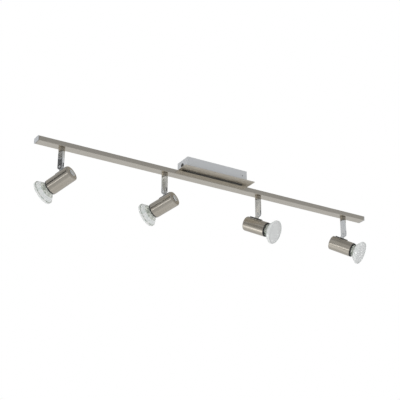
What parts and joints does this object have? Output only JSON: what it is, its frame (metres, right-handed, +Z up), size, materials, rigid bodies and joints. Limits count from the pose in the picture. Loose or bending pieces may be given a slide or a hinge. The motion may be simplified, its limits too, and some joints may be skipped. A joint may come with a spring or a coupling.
{
  "type": "ceiling spotlight bar",
  "caption": "Ceiling light with a flat rectangular rail under a box canopy, carrying cylindrical spots on forked arms that swivel and tilt, each with a reflector lamp.",
  "frame": {"origin": "middle of the ceiling bracket's top face, on the ceiling plane", "axes": "+X along the rail, +Y across it, +Z up into the ceiling; everything hangs below z = 0"},
  "size_m": [0.784, 0.0995, 0.151],
  "materials": {
    "satin_nickel": "brushed satin nickel plate",
    "polished_chrome": "polished chrome plate",
    "zinc_steel": "dull zinc plate",
    "silver_paint": "silver-grey powder coat",
    "dark_steel": "dark plated steel",
    "black_plastic": "matte black",
    "black_sheath": "black silicone sheath",
    "white_ceramic": "off-white glazed steatite ceramic",
    "reflector_glass": "faceted glass with a thin reflective coat",
    "clear_glass": "clear front glass"
  },
  "bodies": {
    "root": {"ceiling_bracket": "zinc_steel", "bracket_screw_left": "dark_steel", "bracket_screw_right": "dark_steel", "canopy_box": "silver_paint", "canopy_plate": "satin_nickel", "canopy_bolt_left": "zinc_steel", "canopy_bolt_right": "zinc_steel", "terminal_block": "white_ceramic", "rail": "satin_nickel", "rail_harness": "black_sheath", "end_cap_left": "silver_paint", "end_cap_right": "silver_paint", "swivel_collar_1": "satin_nickel", "swivel_collar_2": "satin_nickel", "swivel_collar_3": "satin_nickel", "swivel_collar_4": "satin_nickel"},
    "arm_1": {"swivel_bolt_1": "zinc_steel", "arm_1": "polished_chrome", "tilt_pin_1": "polished_chrome"},
    "head_1": {"head_lug_1": "polished_chrome", "head_saddle_1": "dark_steel", "sleeve_1": "satin_nickel", "rear_button_1": "polished_chrome", "lamp_holder_1": "white_ceramic", "mouth_ring_1": "black_plastic"},
    "bulb_1": {"lamp_1": "reflector_glass", "lamp_lens_1": "clear_glass"},
    "arm_2": {"swivel_bolt_2": "zinc_steel", "arm_2": "polished_chrome", "tilt_pin_2": "polished_chrome"},
    "head_2": {"head_lug_2": "polished_chrome", "head_saddle_2": "dark_steel", "sleeve_2": "satin_nickel", "rear_button_2": "polished_chrome", "lamp_holder_2": "white_ceramic", "mouth_ring_2": "black_plastic"},
    "bulb_2": {"lamp_2": "reflector_glass", "lamp_lens_2": "clear_glass"},
    "arm_3": {"swivel_bolt_3": "zinc_steel", "arm_3": "polished_chrome", "tilt_pin_3": "polished_chrome"},
    "head_3": {"head_lug_3": "polished_chrome", "head_saddle_3": "dark_steel", "sleeve_3": "satin_nickel", "rear_button_3": "polished_chrome", "lamp_holder_3": "white_ceramic", "mouth_ring_3": "black_plastic"},
    "bulb_3": {"lamp_3": "reflector_glass", "lamp_lens_3": "clear_glass"},
    "arm_4": {"swivel_bolt_4": "zinc_steel", "arm_4": "polished_chrome", "tilt_pin_4": "polished_chrome"},
    "head_4": {"head_lug_4": "polished_chrome", "head_saddle_4": "dark_steel", "sleeve_4": "satin_nickel", "rear_button_4": "polished_chrome", "lamp_holder_4": "white_ceramic", "mouth_ring_4": "black_plastic"},
    "bulb_4": {"lamp_4": "reflector_glass", "lamp_lens_4": "clear_glass"}
  },
  "joints": [
    {"name": "swivel_1", "type": "hinge", "parent": "root", "child": "arm_1", "pos_m": [-0.33825, 0, -0.0395], "axis": [0, 0, 1], "range_deg": [-165, 165]},
    {"name": "tilt_1", "type": "hinge", "parent": "arm_1", "child": "head_1", "pos_m": [-0.33825, 0, -0.0803], "axis": [-0.859, -0.512, 0], "range_deg": [-42.7, 67.3]},
    {"name": "lamp_twist_1", "type": "hinge", "parent": "head_1", "child": "bulb_1", "pos_m": [-0.34246, 0.00706, -0.11246], "axis": [-0.4724, 0.7924, -0.3859], "range_deg": [0, 20]},
    {"name": "swivel_2", "type": "hinge", "parent": "root", "child": "arm_2", "pos_m": [-0.11275, 0, -0.0395], "axis": [0, 0, 1], "range_deg": [-165, 165]},
    {"name": "tilt_2", "type": "hinge", "parent": "arm_2", "child": "head_2", "pos_m": [-0.11275, 0, -0.0803], "axis": [-0.8878, -0.4602, 0], "range_deg": [-37.8, 72.2]},
    {"name": "lamp_twist_2", "type": "hinge", "parent": "head_2", "child": "bulb_2", "pos_m": [-0.11779, 0.00971, -0.11164], "axis": [-0.4382, 0.8453, -0.3057], "range_deg": [0, 20]},
    {"name": "swivel_3", "type": "hinge", "parent": "root", "child": "arm_3", "pos_m": [0.11275, 0, -0.0395], "axis": [0, 0, 1], "range_deg": [-165, 165]},
    {"name": "tilt_3", "type": "hinge", "parent": "arm_3", "child": "head_3", "pos_m": [0.11275, 0, -0.0803], "axis": [0.8443, 0.5358, 0], "range_deg": [-45.9, 64.1]},
    {"name": "lamp_twist_3", "type": "hinge", "parent": "head_3", "child": "bulb_3", "pos_m": [0.11619, -0.00542, -0.11287], "axis": [0.482, -0.7595, -0.4368], "range_deg": [0, 20]},
    {"name": "swivel_4", "type": "hinge", "parent": "root", "child": "arm_4", "pos_m": [0.33825, 0, -0.0395], "axis": [0, 0, 1], "range_deg": [-165, 165]},
    {"name": "tilt_4", "type": "hinge", "parent": "arm_4", "child": "head_4", "pos_m": [0.33825, 0, -0.0803], "axis": [0.7944, 0.6074, 0], "range_deg": [-47.6, 62.4]},
    {"name": "lamp_twist_4", "type": "hinge", "parent": "head_4", "child": "bulb_4", "pos_m": [0.34156, -0.00433, -0.11305], "axis": [0.5383, -0.704, -0.4633], "range_deg": [0, 20]}
  ]
}
